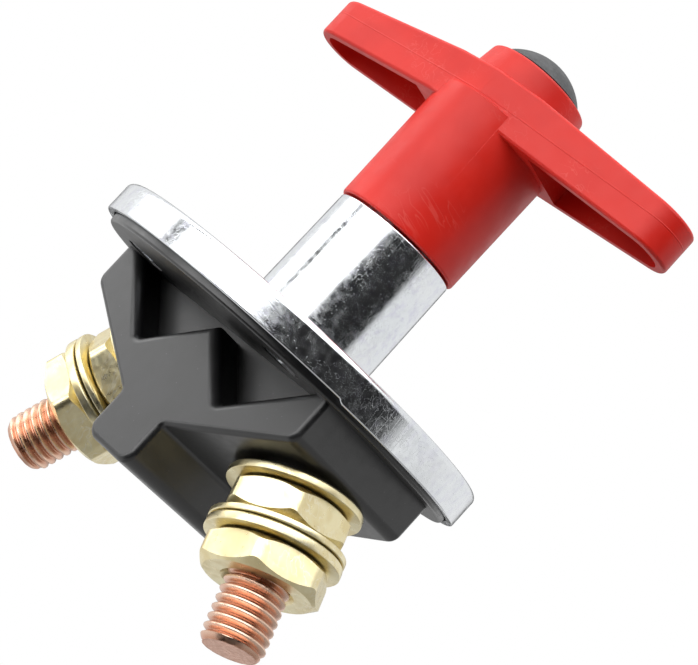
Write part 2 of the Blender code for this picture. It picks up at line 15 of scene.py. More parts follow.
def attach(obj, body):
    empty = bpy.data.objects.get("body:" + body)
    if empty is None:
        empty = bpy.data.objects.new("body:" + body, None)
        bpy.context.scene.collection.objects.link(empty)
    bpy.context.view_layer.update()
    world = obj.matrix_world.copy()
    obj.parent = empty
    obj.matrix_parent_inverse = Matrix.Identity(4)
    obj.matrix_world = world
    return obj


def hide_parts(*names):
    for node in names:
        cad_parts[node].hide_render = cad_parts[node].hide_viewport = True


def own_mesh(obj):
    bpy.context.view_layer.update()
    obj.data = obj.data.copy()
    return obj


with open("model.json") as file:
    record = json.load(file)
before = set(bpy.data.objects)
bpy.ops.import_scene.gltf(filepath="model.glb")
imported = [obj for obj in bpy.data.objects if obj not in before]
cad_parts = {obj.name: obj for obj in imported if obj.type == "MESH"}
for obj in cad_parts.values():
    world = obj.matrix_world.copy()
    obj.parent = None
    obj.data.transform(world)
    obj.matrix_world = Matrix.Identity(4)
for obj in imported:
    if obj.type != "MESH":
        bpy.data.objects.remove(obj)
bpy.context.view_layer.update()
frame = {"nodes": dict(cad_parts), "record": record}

MM = 0.001

# Camera, as an orbit round the aim point
CAMERA_AZIMUTH = 45.16
CAMERA_ELEVATION = -5.93
CAMERA_ROLL = 42.55
CAMERA_DISTANCE = 329.0
CAMERA_LENS = 109.1
CAMERA_AIM = (3.44, 2.63, 5.97)

# Studio: how bright each part of the surroundings is
SURROUNDINGS = 0.85
SOFT_BOX = 2.9
WALL = 2.7
GROUND = 0.42
ROOM = 0.02
GAP = 0.06
REAR = 0.1
FLOOR_LEVEL = -0.28

# Flange casting
FLANGE_RADIUS = 36.2
RIM_DEPTH = 5.3
RIM_EDGE_ROUND = 1.0
RIM_STEP = 0.45
RIM_STEP_START = math.radians(-29.4)
RIM_STEP_RAMP = 0.02
RIM_INNER_RADIUS = 34.9
PLATE_THICKNESS = 3.0
NECK_RADIUS = 11.25
NECK_TOP_RADIUS = 11.05
NECK_TOP = 21.4
NECK_FILLET = 1.5
SEAM_ANGLE = math.radians(-40.0)
SEAM_HALF_WIDTH = math.radians(0.3)
SEAM_HEIGHT = 0.012
SPIGOT_RADIUS = 8.0
SPIGOT_TOP = 33.0
BORE_RADIUS = 5.06
POCKET_RADIUS = 8.2
POCKET_TOP = 1.6
PANEL_HOLE_OFFSET = 27.0
PANEL_HOLE_RADIUS = 2.5
SCREW_REACH = 27.0 / math.sqrt(2)
SCREW_TIP = -0.9
SCREW_HEAD = -6.5

# Housing
DISC_RADIUS = 34.6
DISC_TOP = -3.3
DISC_BOTTOM = -6.6
BLOCK_HALF_WIDTH = 28.3
BLOCK_HALF_DEPTH = 15.8
SHOULDER_Z = -13.8
KEEL_HALF_WIDTH = 6.0
KEEL_BOTTOM = -32.6
KEEL_ROUND = 2.6
KEEL_ROOT_ROUND = 1.0
SHOULDER_ROUND = 2.2
EDGE_ROUND = 2.0
NOTCH_X = 11.5
NOTCH_APEX_Z = -16.5
NOTCH_HALF_WIDTH = 12.6
NOTCH_FLOOR_Y = 10.0
NOTCH_TOP = -4.0
NOTCH_ROUND = 0.8
NOTCH_LIP = 1.7
CUT_TOP = -2.5
SLOT_HALF_LENGTH = 6.4
SLOT_HALF_DEPTH = 6.4
SEAT_WALL = 4.0
WELL_RADIUS = 8.8
WELL_FLOOR = -12.5
SPRING_WELL_RADIUS = 4.0
SPRING_WELL_FLOOR = -29.9
RECESS_INNER = 7.0
RECESS_OUTER = 12.9
RECESS_FLOOR = -5.4
RECESS_HALF_ANGLE = math.radians(55.5)
GROOVE_INNER = 30.0
GROOVE_OUTER = 33.0
GROOVE_FLOOR = -4.6

# Studs, nuts and washers, measured outward along the stud from its seat; shank and head are inward of it
STUD_TILT = math.radians(25.5)
STUD_X = 20.4
STUD_Z = -17.57
STUD_RADIUS = 4.97
THREAD_ROOT_RADIUS = 4.2
THREAD_PITCH = 1.5
STUD_END = 26.8
STUD_TIP_RADIUS = 4.25
STUD_TIP_TAPER = 0.62
SHANK_START = 2.0
HEAD_START = 4.3
HEAD_END = 7.3
HEAD_HALF_LENGTH = 5.6
HEAD_HALF_DEPTH = 5.8
SEAT_BOSS_RADIUS = 7.5
SEAT_BOSS_HEIGHT = 0.7
CLEAR_HOLE = 5.3
WASHER_RADIUS = 10.75
NUT_ACROSS_FLATS = 18.0
NUT_HEIGHT = 5.2
NUT_BORE = 5.04
NUT_CORNER_ROUND = 1.6
NUT_FACE_RADIUS = NUT_ACROSS_FLATS / 2 - 0.45
NUT_CHAMFER_SLOPE = 0.72
INNER_NUT_START = 2.6
OUTER_NUT_START = 11.2
BASE_WASHER = {"start": 1.0, "height": 1.3, "soft": 0.35}
LUG_WASHER = {"start": 9.4, "height": 1.5, "soft": 0.4}
SPRING_WASHER_START = 8.1
SPRING_WASHER_HEIGHT = 1.0
SPRING_WASHER_LIFT = 0.16
SPRING_WASHER_OPENING = math.radians(4.6)
NUT_TURN = {
    "inner_nut_right": math.radians(12.5),
    "outer_nut_right": math.radians(-1.0),
    "inner_nut_left": math.radians(29.0),
    "outer_nut_left": math.radians(-1.0),
}

# Handle
HANDLE_REST = math.radians(10.0)
HUB_BOTTOM = 21.7
HUB_RADIUS = 11.4
HUB_TOP_RADIUS = 11.6
BAR_BOTTOM = 42.6
BAR_TOP = 51.1
BAR_END_BOTTOM = 42.0
BAR_END_TOP = 49.0
BAR_HALF_LENGTH = 39.0
BAR_END_RADIUS = 5.5
BAR_ROOT_HALF_WIDTH = 10.3
BAR_WALL = 1.7
POCKET_DEPTH = 5.6
BOSS_TOP = 55.3
BOSS_RADIUS = 9.4
BOSS_ROOT_RADIUS = 10.1
SCREW_SEAT = 47.0
CAP_RADIUS = 7.9
CAP_HEIGHT = 3.9
BAR_FLAT_HALF_LENGTH = 9.0
SOCKET_TOP = 33.4
SOCKET_GAP = 0.3
DRIVE_RADIUS = 5.3
DRIVE_HALF_FLATS = 4.1
DRIVE_TOP = 41.3
PARTING_LINE_Z = 46.4

# Return spring
SPRING_RADIUS = 3.2
SPRING_WIRE = 0.45
SPRING_TURNS = 6
SPRING_BOTTOM = -28.1
SPRING_TOP = -12.5


def mm(*values):
    return tuple(value * MM for value in values)


# ---------------------------------------------------------------- camera, light and floor

def make_camera():
    """Sets the camera and returns its axes: right, up and back."""
    azimuth, elevation = math.radians(CAMERA_AZIMUTH), math.radians(CAMERA_ELEVATION)
    level = math.cos(elevation)
    back = Vector((math.sin(azimuth) * level, -math.cos(azimuth) * level, math.sin(elevation)))
    lens = bpy.data.cameras.new("camera")
    lens.sensor_width = 36.0
    lens.lens = CAMERA_LENS
    lens.clip_start, lens.clip_end = 0.01, 20.0
    camera = bpy.data.objects.new("camera", lens)
    bpy.context.scene.collection.objects.link(camera)
    roll = Matrix.Rotation(math.radians(CAMERA_ROLL), 4, "Z").to_quaternion()
    turn = (-back).to_track_quat("-Z", "Y") @ roll
    camera.rotation_mode = "QUATERNION"
    camera.rotation_quaternion = turn
    camera.location = Vector(mm(*CAMERA_AIM)) + back * CAMERA_DISTANCE * MM
    bpy.context.scene.camera = camera
    return turn.to_matrix()


class Nodes:
    """Short calls for building a node tree."""

    def __init__(self, tree):
        self.tree = tree

    def add(self, kind, **inputs):
        node = self.tree.nodes.new(kind)
        for name, value in inputs.items():
            self.plug(node, name.replace("_", " "), value)
        return node

    def plug(self, node, name, value):
        socket = node.inputs[int(name)] if name.isdigit() else node.inputs[name]
        if isinstance(value, bpy.types.NodeSocket):
            self.tree.links.new(value, socket)
        else:
            socket.default_value = value

    def math(self, operation, first, second=0.0, third=0.0):
        node = self.tree.nodes.new("ShaderNodeMath")
        node.operation = operation
        for index, value in enumerate((first, second, third)):
            self.plug(node, str(index), value)
        return node.outputs[0]

    def smooth(self, value, low, high):
        """0 below low, 1 above high, smooth between."""
        node = self.tree.nodes.new("ShaderNodeMapRange")
        node.interpolation_type = "SMOOTHSTEP"
        for name, item in (("Value", value), ("From Min", low), ("From Max", high)):
            self.plug(node, name, item)
        return node.outputs["Result"]

    def scale(self, value, low, high, to_low, to_high):
        node = self.tree.nodes.new("ShaderNodeMapRange")
        ranges = (("From Min", low), ("From Max", high), ("To Min", to_low), ("To Max", to_high))
        for name, item in (("Value", value), *ranges):
            self.plug(node, name, item)
        return node.outputs["Result"]

    def mix(self, factor, first, second):
        node = self.tree.nodes.new("ShaderNodeMix")
        node.data_type = "RGBA"
        for index, value in ((0, factor), (6, first), (7, second)):
            if isinstance(value, tuple):
                value = (*value, 1.0)
            self.plug(node, str(index), value)
        return node.outputs[2]

    def within(self, value, outside_low, low, high, outside_high):
        """1 from low to high, falling to 0 at the outside values."""
        above, below = self.smooth(value, outside_low, low), self.smooth(value, outside_high, high)
        return self.math("MULTIPLY", above, below)

    def from_axis(self, place):
        """Distance of a place from its own Z axis."""
        parts = self.add("ShaderNodeSeparateXYZ", Vector=place)
        squares = [self.math("POWER", parts.outputs[index], 2.0) for index in (0, 1)]
        return self.math("SQRT", self.math("ADD", *squares))

    def blend(self, factor, first, second):
        """Mixes the shaders of two nodes, from first to second."""
        node = self.tree.nodes.new("ShaderNodeMixShader")
        for socket, value in zip(node.inputs, (factor, first.outputs[0], second.outputs[0])):
            self.tree.links.new(value, socket)
        return node.outputs[0]

    def dot(self, vector, axis):
        node = self.tree.nodes.new("ShaderNodeVectorMath")
        node.operation = "DOT_PRODUCT"
        self.tree.links.new(vector, node.inputs[0])
        node.inputs[1].default_value = tuple(axis)
        return node.outputs["Value"]


def make_world(axes):
    """A plain studio, painted by direction: pale surroundings, a large soft box above the camera, a bright
    wall above and behind the object with a dark gap between the two, dim ground, an unlit room round the
    camera and another straight behind the object."""
    right, up, front = (axes.col[index].copy() for index in range(3))
    world = bpy.data.worlds.new("studio")
    bpy.context.scene.world = world
    world.use_nodes = True
    tree = world.node_tree
    tree.nodes.clear()
    make = Nodes(tree)
    direction = tree.nodes.new("ShaderNodeTexCoord").outputs["Generated"]
    across, height, depth = (make.dot(direction, axis) for axis in (right, up, front))

    box = make.math("MULTIPLY", make.smooth(height, 0.26, 0.36), make.smooth(depth, 0.04, 0.12))
    wall = make.within(depth, -0.62, -0.42, -0.06, -0.02)
    wall = make.math("MULTIPLY", wall, make.smooth(height, 0.45, 0.60))
    ground = make.smooth(height, -0.60, -0.70)
    lintel = make.math("MULTIPLY_ADD", make.smooth(across, 0.35, 0.60), 0.28, height)
    room = make.math("MULTIPLY", make.smooth(depth, 0.34, 0.50), make.smooth(lintel, 0.47, 0.36))
    room = make.math("MULTIPLY", room, make.smooth(height, -0.66, -0.52))
    gap = make.within(depth, -0.06, -0.02, 0.12, 0.16)
    gap = make.math("MULTIPLY", gap, make.smooth(height, 0.35, 0.50))
    rear = make.smooth(depth, -0.90, -0.97)

    level = make.math("MULTIPLY_ADD", box, SOFT_BOX - SURROUNDINGS, SURROUNDINGS)
    level = make.math("MULTIPLY_ADD", wall, WALL - SURROUNDINGS, level)
    for mask, value in ((ground, GROUND), (room, ROOM), (gap, GAP), (rear, REAR)):
        level = make.math("MULTIPLY_ADD", make.math("SUBTRACT", value, level), mask, level)
    lit = make.add("ShaderNodeBackground", Color=(1, 1, 1, 1), Strength=level)
    seen = make.add("ShaderNodeBackground", Color=(1, 1, 1, 1), Strength=1.0)
    ray = tree.nodes.new("ShaderNodeLightPath").outputs["Is Camera Ray"]
    out = tree.nodes.new("ShaderNodeOutputWorld")
    tree.links.new(make.blend(ray, lit, seen), out.inputs["Surface"])


axes = make_camera()
make_world(axes)
bpy.context.scene.view_settings.view_transform = "Standard"


# ---------------------------------------------------------------- finishes

class Finish(Nodes):
    """A Principled material whose colour, roughness and bump come from object-space textures."""

    def __init__(self, name, **sockets):
        self.material = bpy.data.materials.new(name)
        self.material.use_nodes = True
        super().__init__(self.material.node_tree)
        self.shader = self.tree.nodes["Principled BSDF"]
        for socket, value in sockets.items():
            self.shader.inputs[socket.replace("_", " ")].default_value = value
        self.place = self.tree.nodes.new("ShaderNodeTexCoord").outputs["Object"]
        self.height = None

    def stretched(self, scale, turn=(0.0, 0.0, 0.0)):
        """Object coordinates in millimetres, turned and then stretched by scale."""
        node = self.tree.nodes.new("ShaderNodeMapping")
        node.vector_type = "TEXTURE"
        self.tree.links.new(self.place, node.inputs["Vector"])
        node.inputs["Rotation"].default_value = turn
        node.inputs["Scale"].default_value = tuple(MM / item for item in scale)
        return node.outputs["Vector"]

    def noise(self, size, detail=3.0, roughness=0.5, stretch=(1, 1, 1), turn=(0, 0, 0), distortion=0.0):
        """Noise between 0 and 1 whose features are about size millimetres across."""
        vector = self.stretched(tuple(item / size for item in stretch), turn)
        node = self.add(
            "ShaderNodeTexNoise", Vector=vector, Scale=1.0, Detail=detail, Roughness=roughness,
            Distortion=distortion,
        )
        return node.outputs["Fac"]

    def specks(self, size, share):
        """1 on scattered specks: share sets how large they are in their cells."""
        vector = self.stretched((1 / size,) * 3)
        node = self.add("ShaderNodeTexVoronoi", Vector=vector, Scale=1.0)
        return self.smooth(node.outputs["Distance"], share, share * 0.5)

    def hairlines(self, size, turn, width=0.02):
        """Thin lines, long one way, as fine scratches."""
        value = self.noise(size, detail=2.0, stretch=(0.06, 1, 1), turn=turn, distortion=0.3)
        away = self.math("ABSOLUTE", self.math("SUBTRACT", value, 0.5))
        line = self.smooth(away, width, width * 0.3)
        patch = self.smooth(self.noise(size * 9, detail=1.0, turn=turn), 0.5, 0.62)
        return self.math("MULTIPLY", line, patch)

    def colour(self, factor, first, second):
        """Base colour, from first to second as the factor goes from 0 to 1."""
        self.tree.links.new(self.mix(factor, first, second), self.shader.inputs["Base Color"])

    def rough(self, factor, low, high):
        """Roughness from low to high as a noise goes through its usual range."""
        self.tree.links.new(self.scale(factor, 0.3, 0.7, low, high), self.shader.inputs["Roughness"])

    def bump(self, height, depth):
        """Adds height times depth millimetres to the bump."""
        node = self.add("ShaderNodeBump", Height=height, Distance=depth * MM, Strength=1.0)
        if self.height is not None:
            self.tree.links.new(self.height, node.inputs["Normal"])
        self.height = node.outputs["Normal"]
        self.tree.links.new(self.height, self.shader.inputs["Normal"])


def bright_plating():
    """Bright zinc over a casting: faint waves, pits, hairlines and a blue and violet bloom."""
    make = Finish("bright_zinc", Metallic=1.0)
    bloom = make.smooth(make.noise(1.6, detail=4.0), 0.45, 0.7)
    cloud = make.smooth(make.noise(7.0, detail=2.0), 0.35, 0.7)
    tint = make.mix(make.math("MULTIPLY", bloom, 0.55), (0.83, 0.86, 0.885), (0.68, 0.67, 0.80))
    pale = make.mix(make.math("MULTIPLY", cloud, 0.5), tint, (0.90, 0.915, 0.92))
    marks = make.hairlines(1.1, (0.3, 0.2, 0.4))
    for size, turn in ((0.9, (1.2, 0.7, 2.1)), (1.4, (2.0, 1.5, 0.8))):
        marks = make.math("MAXIMUM", marks, make.hairlines(size, turn))
    pits = make.specks(0.55, 0.15)
    make.colour(make.math("MULTIPLY", pits, 0.4), pale, (0.45, 0.45, 0.5))
    make.rough(make.math("MULTIPLY_ADD", marks, 0.5, make.noise(1.2, detail=5.0)), 0.10, 0.26)
    make.bump(make.noise(4.0, detail=0.0), 0.003)
    make.bump(make.noise(0.22, detail=4.0, roughness=0.6), 0.0022)
    make.bump(make.math("MULTIPLY", marks, -1.0), 0.0035)
    make.bump(make.math("MULTIPLY", pits, -1.0), 0.008)
    return make.material


def yellow_plating():
    """Yellow passivated zinc: gold with paler and greener clouds, rubbed bright in places."""
    make = Finish("yellow_zinc", Metallic=1.0)
    cloud = make.smooth(make.noise(3.5, detail=3.0, distortion=0.6), 0.36, 0.66)
    gold = make.mix(cloud, (0.90, 0.81, 0.52), (0.81, 0.69, 0.39))
    green = make.smooth(make.noise(2.0, detail=2.0), 0.52, 0.75)
    gold = make.mix(make.math("MULTIPLY", green, 0.25), gold, (0.78, 0.78, 0.52))
    rubbed = make.hairlines(1.2, (0.5, 0.9, 0.2), 0.03)
    make.colour(make.math("MULTIPLY", rubbed, 0.5), gold, (0.95, 0.90, 0.74))
    make.rough(make.noise(0.9, detail=4.0), 0.26, 0.38)
    make.bump(make.noise(2.2, detail=2.0), 0.006)
    make.bump(make.noise(0.25, detail=3.0), 0.0015)
    make.bump(make.math("MULTIPLY", rubbed, -1.0), 0.003)
    return make.material


def bare_copper():
    """Bare copper with painted shade: darker in the thread roots, paler on the crests. Z runs along the
    stud.
    """
    make = Finish("copper", Metallic=1.0)
    # Painted shade: the thread roots are coloured darker than the crests, by distance from the stud's axis.
    crest = make.smooth(make.from_axis(make.place), 4.2 * MM, 4.9 * MM)
    copper_with_painted_root_shade = make.mix(crest, (0.62, 0.33, 0.22), (0.86, 0.61, 0.47))
    cloud = make.smooth(make.noise(2.2, detail=3.0), 0.4, 0.7)
    make.colour(make.math("MULTIPLY", cloud, 0.35), copper_with_painted_root_shade, (0.78, 0.40, 0.27))
    make.rough(make.noise(0.6, detail=4.0), 0.22, 0.38)
    make.bump(make.noise(0.5, detail=3.0), 0.012)
    make.bump(make.noise(0.12, detail=2.0, stretch=(1, 1, 3)), 0.006)
    return make.material


def contact_copper():
    """Copper bar stock with a faint rolling grain along it."""
    make = Finish("contact_copper", Metallic=1.0)
    cloud = make.smooth(make.noise(3.0, detail=3.0), 0.35, 0.7)
    make.colour(cloud, (0.90, 0.54, 0.40), (0.74, 0.38, 0.26))
    make.rough(make.noise(0.7, detail=4.0), 0.25, 0.42)
    make.bump(make.noise(0.4, detail=3.0, stretch=(0.2, 1, 1)), 0.006)
    return make.material


def red_plastic():
    """Satin red moulding with a faint grain, paler scuffs and a fine parting line along the bar."""
    make = Finish("red_plastic", Specular_IOR_Level=0.32)
    cloud = make.smooth(make.noise(9.0, detail=2.0), 0.35, 0.7)
    red = make.mix(cloud, (0.62, 0.017, 0.009), (0.56, 0.013, 0.007))
    scuffs = make.hairlines(1.5, (0.4, 0.3, 0.9), 0.02)
    make.colour(make.math("MULTIPLY", scuffs, 0.25), red, (0.70, 0.12, 0.10))
    make.rough(make.noise(2.2, detail=4.0), 0.34, 0.46)
    make.bump(make.noise(2.5, detail=2.0), 0.020)
    make.bump(make.noise(0.25, detail=3.0), 0.004)
    make.bump(make.math("MULTIPLY", scuffs, -1.0), 0.006)
    level = make.add("ShaderNodeSeparateXYZ", Vector=make.place).outputs[2]
    off_line = make.math("ABSOLUTE", make.math("SUBTRACT", level, PARTING_LINE_Z * MM))
    make.bump(make.smooth(off_line, 0.14 * MM, 0.04 * MM), 0.035)
    return make.material


def black_plastic():
    """Black moulding with a soft gloss: slight waves, dust, and fine scratches that catch the light."""
    make = Finish("black_plastic", Coat_Weight=0.55, Coat_Roughness=0.30, Specular_IOR_Level=0.55)
    cloud = make.smooth(make.noise(6.0, detail=3.0), 0.35, 0.7)
    black = make.mix(cloud, (0.006, 0.006, 0.006), (0.010, 0.010, 0.011))
    dust = make.specks(1.7, 0.07)
    make.colour(make.math("MULTIPLY", dust, 0.35), black, (0.16, 0.16, 0.17))
    scuffs = make.hairlines(1.3, (0.2, 0.9, 0.5), 0.018)
    make.rough(make.math("MULTIPLY_ADD", scuffs, 0.3, make.noise(1.8, detail=4.0)), 0.30, 0.42)
    make.bump(make.noise(3.0, detail=2.0), 0.012)
    make.bump(make.noise(0.3, detail=3.0), 0.003)
    make.bump(make.math("MULTIPLY", scuffs, -1.0), 0.004)
    return make.material


def cap_plastic():
    """Matt black with a spark-eroded grain."""
    make = Finish("black_cap", Specular_IOR_Level=0.5)
    cloud = make.smooth(make.noise(2.0, detail=3.0), 0.35, 0.7)
    make.colour(cloud, (0.030, 0.031, 0.033), (0.050, 0.051, 0.054))
    make.rough(make.noise(0.6, detail=3.0), 0.46, 0.60)
    make.bump(make.noise(0.22, detail=3.0), 0.020)
    return make.material


def plain_finish(name, light, dark, roughness, grain, depth, **sockets):
    """A simpler finish: colour clouds, uneven roughness and a fine grain."""
    make = Finish(name, **sockets)
    make.colour(make.smooth(make.noise(4.0), 0.35, 0.7), light, dark)
    make.rough(make.noise(1.0, detail=4.0), *roughness)
    make.bump(make.noise(grain, detail=3.0), depth)
    return make.material


finishes = {
    "bright_zinc": bright_plating(),
    "yellow_zinc": yellow_plating(),
    "copper": bare_copper(),
    "contact_copper": contact_copper(),
    "red_plastic": red_plastic(),
    "black_plastic": black_plastic(),
    "black_cap": cap_plastic(),
    "steel": plain_finish(
        "steel", (0.62, 0.62, 0.63), (0.48, 0.48, 0.50), roughness=(0.22, 0.36), grain=0.3, depth=0.006,
        Metallic=1.0,
    ),
    "nylon": plain_finish(
        "nylon", (0.76, 0.74, 0.68), (0.68, 0.66, 0.60), roughness=(0.38, 0.50), grain=0.4, depth=0.006,
    ),
    "black_rubber": plain_finish(
        "black_rubber", (0.02, 0.02, 0.02), (0.03, 0.03, 0.03), roughness=(0.60, 0.75), grain=0.3,
        depth=0.01,
    ),
}


# ---------------------------------------------------------------- building meshes

def finished(name, shape, finish=None, sharp=35.0):
    """An object from a bmesh, smooth except across edges sharper than the given angle."""
    bmesh.ops.recalc_face_normals(shape, faces=shape.faces)
    mesh = bpy.data.meshes.new(name)
    shape.to_mesh(mesh)
    shape.free()
    thing = bpy.data.objects.new(name, mesh)
    bpy.context.scene.collection.objects.link(thing)
    if finish:
        mesh.materials.append(finishes[finish])
    mesh.shade_smooth()
    mesh.set_sharp_from_angle(angle=math.radians(sharp))
    return thing


def turned(name, profile, steps=96, closed=False, finish=None, angles=None, shift=None):
    """A solid of revolution about Z from (radius, z) points, which shift(angle, radius, z) may move."""
    shape = bmesh.new()
    angles = angles or [2 * math.pi * step / steps for step in range(steps)]
    columns = []
    for turn in angles:
        column = []
        for radius, z in profile:
            if shift:
                radius, z = shift(turn, radius, z)
            column.append(shape.verts.new(mm(radius * math.cos(turn), radius * math.sin(turn), z)))
        columns.append(column)
    count = len(profile)
    for index, column in enumerate(columns):
        after = columns[(index + 1) % len(columns)]
        for row in range(count if closed else count - 1):
            below = (row + 1) % count
            shape.faces.new((column[row], column[below], after[below], after[row]))
    bmesh.ops.remove_doubles(shape, verts=shape.verts, dist=1e-7)
    return finished(name, shape, finish)


def loft(name, rings, finish=None):
    """A closed solid through rings of equally many points, capped at both ends."""
    shape = bmesh.new()
    made = [[shape.verts.new(mm(*point)) for point in ring] for ring in rings]
    for before, after in zip(made, made[1:]):
        for index in range(len(before)):
            ahead = (index + 1) % len(before)
            shape.faces.new((before[index], before[ahead], after[ahead], after[index]))
    shape.faces.new(made[0])
    shape.faces.new(made[-1])
    return finished(name, shape, finish)


def plate(name, outline, low, high, upright=False, finish=None):
    """A flat outline given a thickness from low to high, along Z, or along Y when upright."""
    if upright:
        return loft(name, [[(x, level, z) for x, z in outline] for level in (low, high)], finish)
    return loft(name, [[(x, y, level) for x, y in outline] for level in (low, high)], finish)


def block(name, low, high):
    outline = [(low[0], low[1]), (high[0], low[1]), (high[0], high[1]), (low[0], high[1])]
    return plate(name, outline, low[2], high[2])


def settle(thing, sharp=35.0):
    """Applies the object's modifiers."""
    bpy.context.view_layer.update()
    mesh = bpy.data.meshes.new_from_object(thing.evaluated_get(bpy.context.evaluated_depsgraph_get()))
    old = thing.data
    thing.modifiers.clear()
    thing.data = mesh
    mesh.name = thing.name
    bpy.data.meshes.remove(old)
    mesh.shade_smooth()
    mesh.set_sharp_from_angle(angle=math.radians(sharp))
    return thing


def combine(target, tools, operation="DIFFERENCE"):
    """Cuts the tools from the target, or adds them, and removes them."""
    for tool in tools:
        modifier = target.modifiers.new(tool.name, "BOOLEAN")
        modifier.operation = operation
        modifier.solver = "EXACT"
        modifier.object = tool
    settle(target)
    for tool in tools:
        mesh = tool.data
        bpy.data.objects.remove(tool)
        bpy.data.meshes.remove(mesh)
    return target


def round_edges(thing, width, segments, angle):
    bevel = thing.modifiers.new("round edges", "BEVEL")
    bevel.width = width * MM
    bevel.segments = segments
    bevel.limit_method = "ANGLE"
    bevel.angle_limit = math.radians(angle)
    bevel.miter_outer = "MITER_ARC"
    return settle(thing)


def even_shading(thing):
    thing.data.set_sharp_from_angle(angle=math.radians(35))
    modifier = thing.modifiers.new("even shading", "WEIGHTED_NORMAL")
    modifier.keep_sharp = True
    modifier.weight = 100
    return thing


def arc(centre, radius, start, end, steps):
    """Points on an arc, with angles in degrees."""
    turns = [math.radians(start + (end - start) * step / steps) for step in range(steps + 1)]
    return [(centre[0] + radius * math.cos(turn), centre[1] + radius * math.sin(turn)) for turn in turns]


def rounded(corners, segments=10):
    """An outline whose corners (x, z, radius) are turned into arcs."""
    outline = []
    count = len(corners)
    for index, (x, z, radius) in enumerate(corners):
        here = Vector((x, z))
        before = Vector(corners[index - 1][:2]) - here
        after = Vector(corners[(index + 1) % count][:2]) - here
        if radius <= 0:
            outline.append((x, z))
            continue
        half = before.angle(after) / 2
        centre = here + (before.normalized() + after.normalized()).normalized() * radius / math.sin(half)
        start = here + before.normalized() * radius / math.tan(half) - centre
        end = here + after.normalized() * radius / math.tan(half) - centre
        sweep = start.angle_signed(end)
        for step in range(segments + 1):
            turn = Matrix.Rotation(-sweep * step / segments, 2)
            outline.append(tuple(centre + turn @ start))
    return outline


def stud_frame(side):
    """Matrix whose +Z runs inward along a stud, from its seat."""
    place = Matrix.Translation(mm(side * STUD_X, 0, STUD_Z))
    return place @ Matrix.Rotation(-side * STUD_TILT, 4, "Y")


def moved(thing, place):
    thing.data.transform(place)
    return thing


def show(thing, node, body):
    """Puts a finished piece in the place of its CAD node."""
    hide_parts(node)
    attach(thing, body)
    return thing


def screw_places():
    return [(x * SCREW_REACH, y * SCREW_REACH, 0) for x in (1, -1) for y in (1, -1)]


# ---------------------------------------------------------------- castings and mouldings

def make_flange():
    """The plated casting: a shallow cup with a neck and a spigot, bored for the spindle and the screws."""
    profile = [
        (BORE_RADIUS, SPIGOT_TOP), (SPIGOT_RADIUS - 0.5, SPIGOT_TOP),
        *arc((SPIGOT_RADIUS - 0.5, SPIGOT_TOP - 0.5), 0.5, 90, 0, 4)[1:], (SPIGOT_RADIUS, NECK_TOP),
        (NECK_TOP_RADIUS - 0.35, NECK_TOP), *arc((NECK_TOP_RADIUS - 0.35, NECK_TOP - 0.35), 0.35, 75, 0, 4),
        (11.1, 16.0), (11.16, 11.0), (11.21, 6.0),
        *arc((NECK_RADIUS + NECK_FILLET, NECK_FILLET), NECK_FILLET, 180, 270, 10),
        (20.0, 0.0), (30.0, 0.0),
        *arc((FLANGE_RADIUS - RIM_EDGE_ROUND, -RIM_EDGE_ROUND), RIM_EDGE_ROUND, 90, 0, 10),
        (FLANGE_RADIUS, -3.0),
        *arc((FLANGE_RADIUS - 0.25, 0.25 - RIM_DEPTH), 0.25, 0, -90, 4),
        *arc((RIM_INNER_RADIUS + 0.2, 0.2 - RIM_DEPTH), 0.2, -90, -180, 3),
        (RIM_INNER_RADIUS, -PLATE_THICKNESS), (POCKET_RADIUS, -PLATE_THICKNESS),
        (POCKET_RADIUS, POCKET_TOP), (BORE_RADIUS, POCKET_TOP),
    ]
    angles = {round(2 * math.pi * step / 256, 6) for step in range(256)}
    near_step = (-0.012, -0.004, 0.004, 0.012, 0.022)
    near_seam = tuple(math.radians(offset) for offset in (-0.6, -0.2, 0.2, 0.6))
    for feature, offsets in ((RIM_STEP_START, near_step), (SEAM_ANGLE, near_seam)):
        for start in (feature, feature + math.pi):
            angles |= {round((start + offset) % (2 * math.pi), 6) for offset in offsets}

    def shift(turn, radius, z):
        """Lowers half the rim's edge by the cast step and raises the neck's two mould seams."""
        from_step = (turn - RIM_STEP_START) % (2 * math.pi)
        if radius > RIM_INNER_RADIUS - 0.1 and z < -RIM_DEPTH + 0.3 and from_step < math.pi:
            z -= RIM_STEP * min(from_step / RIM_STEP_RAMP, (math.pi - from_step) / RIM_STEP_RAMP, 1.0)
        off_seam = abs((turn - SEAM_ANGLE + math.pi / 2) % math.pi - math.pi / 2)
        if 10.9 < radius < 11.3 and z > NECK_FILLET - 0.1 and off_seam < SEAM_HALF_WIDTH:
            radius += SEAM_HEIGHT
        return radius, z

    flange = turned(
        "detailed_flange", profile, closed=True, angles=sorted(angles), shift=shift, finish="bright_zinc",
    )
    holes = []
    for side in (1, -1):
        hole = turned("panel hole", [
            (0, 1), (PANEL_HOLE_RADIUS + 0.9, 1), (PANEL_HOLE_RADIUS + 0.4, 0.01),
            (PANEL_HOLE_RADIUS, -0.4), (PANEL_HOLE_RADIUS, -4), (0, -4)], steps=48)
        holes.append(moved(hole, Matrix.Translation(mm(0, side * PANEL_HOLE_OFFSET, 0))))
    for place in screw_places():
        hole = turned("tapped hole", [(0, -0.6), (1.8, -0.6), (1.8, -4), (0, -4)], steps=24)
        holes.append(moved(hole, Matrix.Translation(mm(*place))))
    combine(flange, holes)
    return show(even_shading(flange), "flange", "base")


def seat_line(x):
    """Height of the sloping seat at a distance x from the centre plane."""
    return STUD_Z + (abs(x) - STUD_X) * math.tan(STUD_TILT)


